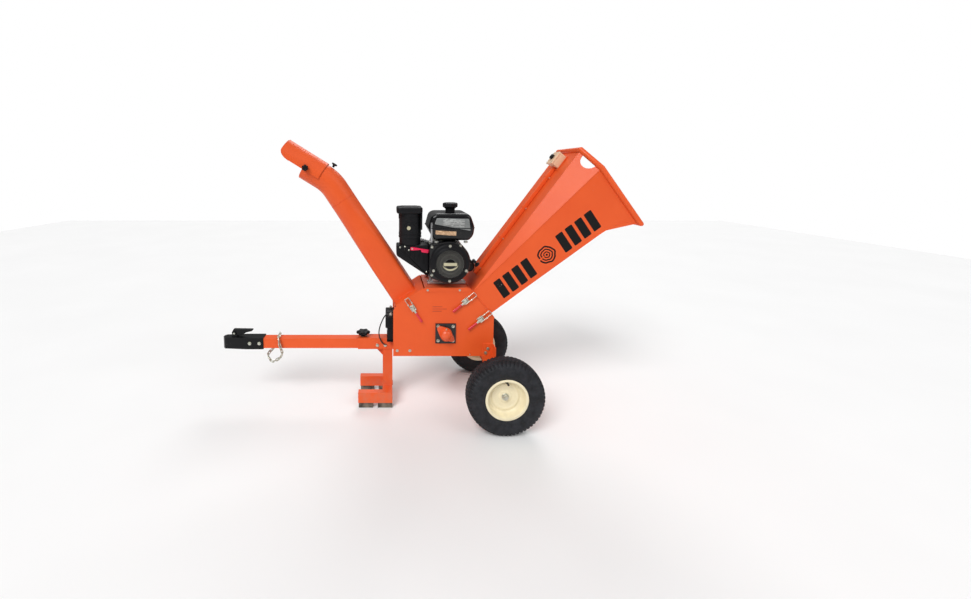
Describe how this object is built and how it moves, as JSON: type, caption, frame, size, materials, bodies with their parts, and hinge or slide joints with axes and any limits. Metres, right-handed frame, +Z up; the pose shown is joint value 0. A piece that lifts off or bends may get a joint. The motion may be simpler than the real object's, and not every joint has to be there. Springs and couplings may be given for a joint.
{
  "type": "towable wood chipper",
  "caption": "Towable petrol wood chipper: orange drum housing on two wheels, black engine on top, six-sided feed hopper, tall discharge chute with deflector, hitch tongue and stand.",
  "frame": {"origin": "on the ground, at the middle of the bounding box", "axes": "+X towards the feed hopper, -X along the hitch; -Y is the recoil starter side; +Z up"},
  "size_m": [2.367, 0.822, 1.5775],
  "materials": {
    "aluminium": "cast aluminium",
    "black_paint": "black paint",
    "box": "beige plastic",
    "cream": "cream gloss paint",
    "muffler": "heat-proof dark paint",
    "orange": "gloss orange powder coat",
    "plastic": "satin black plastic",
    "red": "red grip",
    "rubber": "matt black rubber",
    "steel": "machined steel",
    "tyre": "black rubber",
    "zinc": "bright zinc plate"
  },
  "bodies": {
    "chassis": {"air_cleaner": "plastic", "anvil_bed": "steel", "axle": "orange", "battery": "plastic", "battery_cable": "rubber", "battery_tray": "black_paint", "bearing_far": "black_paint", "bearing_near": "orange", "belt_guard": "orange", "blower_housing": "black_paint", "chute": "orange", "clamp_chute_base": "zinc", "clamp_chute_far": "zinc", "clamp_hopper_far": "zinc", "clamp_hopper_lower_base": "zinc", "clamp_hopper_upper_base": "zinc", "control_cover": "plastic", "crankcase": "aluminium", "engine_deck": "orange", "foot_frame": "orange", "foot_pad_far_front": "rubber", "foot_pad_far_rear": "rubber", "foot_pad_near_front": "rubber", "foot_pad_near_rear": "rubber", "fuel_tank": "plastic", "hitch_post": "orange", "hopper_shell": "orange", "housing_shell": "orange", "muffler": "muffler", "recoil_cover": "plastic", "side_plate_far": "orange", "side_plate_near": "orange", "starter_motor": "plastic", "switch_box": "box"},
    "rotor": {"rotor": "steel"},
    "engine_shaft": {"engine_pulley": "steel"},
    "wheel_near": {"tyre_near": "tyre", "rim_near": "cream"},
    "wheel_far": {"tyre_far": "tyre", "rim_far": "cream"},
    "deflector": {"deflector": "orange"},
    "deflector_knob": {"deflector_knob": "plastic"},
    "wing_knob": {"wing_knob": "plastic"},
    "tongue": {"tongue": "orange", "coupler": "black_paint"},
    "coupler_latch": {"coupler_latch": "black_paint"},
    "tongue_knob": {"tongue_knob": "plastic"},
    "safety_chain": {"safety_chain": "zinc"},
    "fuel_cap": {"fuel_cap": "plastic"},
    "choke_lever": {"choke_lever": "red"},
    "recoil_handle": {"recoil_handle": "plastic"},
    "stop_button": {"stop_button": "plastic"},
    "hopper_flap": {"hopper_flap": "rubber"},
    "clamp_chute_lever": {"clamp_chute_lever": "red"},
    "clamp_chute_hook": {"clamp_chute_hook": "zinc"},
    "clamp_hopper_upper_lever": {"clamp_hopper_upper_lever": "red"},
    "clamp_hopper_upper_hook": {"clamp_hopper_upper_hook": "zinc"},
    "clamp_hopper_lower_lever": {"clamp_hopper_lower_lever": "red"},
    "clamp_hopper_lower_hook": {"clamp_hopper_lower_hook": "zinc"}
  },
  "joints": [
    {"name": "wheel_near_spin", "type": "hinge", "parent": "chassis", "child": "wheel_near", "pos_m": [0.44149, -0.35, 0.2075], "axis": [0, 1, 0], "continuous": true},
    {"name": "wheel_far_spin", "type": "hinge", "parent": "chassis", "child": "wheel_far", "pos_m": [0.44149, 0.35, 0.2075], "axis": [0, 1, 0], "continuous": true},
    {"name": "rotor_spin", "type": "hinge", "parent": "chassis", "child": "rotor", "pos_m": [0.14849, 0, 0.473], "axis": [0, 1, 0], "continuous": true},
    {"name": "engine_shaft_spin", "type": "hinge", "parent": "chassis", "child": "engine_shaft", "pos_m": [0.16149, 0, 0.8883], "axis": [0, 1, 0], "continuous": true},
    {"name": "deflector_tilt", "type": "hinge", "parent": "chassis", "child": "deflector", "pos_m": [-0.64766, 0, 1.41658], "axis": [0, -1, 0], "range_deg": [0, 35]},
    {"name": "deflector_knob_turn", "type": "hinge", "parent": "deflector", "child": "deflector_knob", "pos_m": [-0.64766, -0.0838, 1.41658], "axis": [0, -1, 0], "range_deg": [0, 360]},
    {"name": "wing_knob_turn", "type": "hinge", "parent": "chassis", "child": "wing_knob", "pos_m": [-0.5035, 0, 1.42083], "axis": [0.5299, 0, 0.848], "range_deg": [0, 360]},
    {"name": "tongue_slide", "type": "slide", "parent": "chassis", "child": "tongue", "axis": [-1, 0, 0], "range_m": [0, 0.12]},
    {"name": "tongue_knob_turn", "type": "hinge", "parent": "chassis", "child": "tongue_knob", "pos_m": [-0.33281, 0, 0.3946], "axis": [0, 0, 1], "range_deg": [0, 360]},
    {"name": "coupler_latch_lift", "type": "hinge", "parent": "tongue", "child": "coupler_latch", "pos_m": [-1.11651, 0, 0.4173], "axis": [0, -1, 0], "range_deg": [0, 55]},
    {"name": "chain_swing", "type": "hinge", "parent": "tongue", "child": "safety_chain", "pos_m": [-0.84551, 0, 0.3995], "axis": [0, 1, 0], "range_deg": [-8, 8]},
    {"name": "fuel_cap_turn", "type": "hinge", "parent": "chassis", "child": "fuel_cap", "pos_m": [0.17949, -0.04, 1.1616], "axis": [0, 0, 1], "range_deg": [0, 120]},
    {"name": "choke_lever_turn", "type": "hinge", "parent": "chassis", "child": "choke_lever", "pos_m": [-0.04551, -0.14, 0.9643], "axis": [0, -1, 0], "range_deg": [0, 20]},
    {"name": "recoil_handle_pull", "type": "slide", "parent": "chassis", "child": "recoil_handle", "axis": [0.5, 0, 0.866], "range_m": [0, 0.2], "stiffness_N_per_m": 20},
    {"name": "stop_button_press", "type": "slide", "parent": "chassis", "child": "stop_button", "axis": [0.8113, 0, -0.5846], "range_m": [0, 0.003], "stiffness_N_per_m": 300},
    {"name": "hopper_flap_swing", "type": "hinge", "parent": "chassis", "child": "hopper_flap", "pos_m": [0.55748, 0, 1.03738], "axis": [0, 1, 0], "range_deg": [-20, 25]},
    {"name": "clamp_chute_lever_turn", "type": "hinge", "parent": "chassis", "child": "clamp_chute_lever", "pos_m": [-0.04159, -0.1625, 0.62656], "axis": [-0.8384, 0, -0.545], "range_deg": [0, 100]},
    {"name": "clamp_chute_hook_turn", "type": "hinge", "parent": "clamp_chute_lever", "child": "clamp_chute_hook", "pos_m": [-0.03178, -0.165, 0.61146], "axis": [-0.8384, 0, -0.545], "range_deg": [-100, 0]},
    {"name": "clamp_hopper_upper_lever_turn", "type": "hinge", "parent": "chassis", "child": "clamp_hopper_upper_lever", "pos_m": [0.26278, -0.1625, 0.66678], "axis": [-0.645, 0, 0.7642], "range_deg": [0, 100]},
    {"name": "clamp_hopper_upper_hook_turn", "type": "hinge", "parent": "clamp_hopper_upper_lever", "child": "clamp_hopper_upper_hook", "pos_m": [0.24902, -0.165, 0.65518], "axis": [-0.645, 0, 0.7642], "range_deg": [-100, 0]},
    {"name": "clamp_hopper_lower_lever_turn", "type": "hinge", "parent": "chassis", "child": "clamp_hopper_lower_lever", "pos_m": [0.35178, -0.1625, 0.56132], "axis": [-0.645, 0, 0.7642], "range_deg": [0, 100]},
    {"name": "clamp_hopper_lower_hook_turn", "type": "hinge", "parent": "clamp_hopper_lower_lever", "child": "clamp_hopper_lower_hook", "pos_m": [0.33803, -0.165, 0.54971], "axis": [-0.645, 0, 0.7642], "range_deg": [-100, 0]}
  ],
  "couplings": [
    {"joint": "engine_shaft_spin", "follows": "rotor_spin", "ratio": 1.4444},
    {"joint": "clamp_chute_hook_turn", "follows": "clamp_chute_lever_turn", "ratio": -1},
    {"joint": "clamp_hopper_upper_hook_turn", "follows": "clamp_hopper_upper_lever_turn", "ratio": -1},
    {"joint": "clamp_hopper_lower_hook_turn", "follows": "clamp_hopper_lower_lever_turn", "ratio": -1}
  ]
}
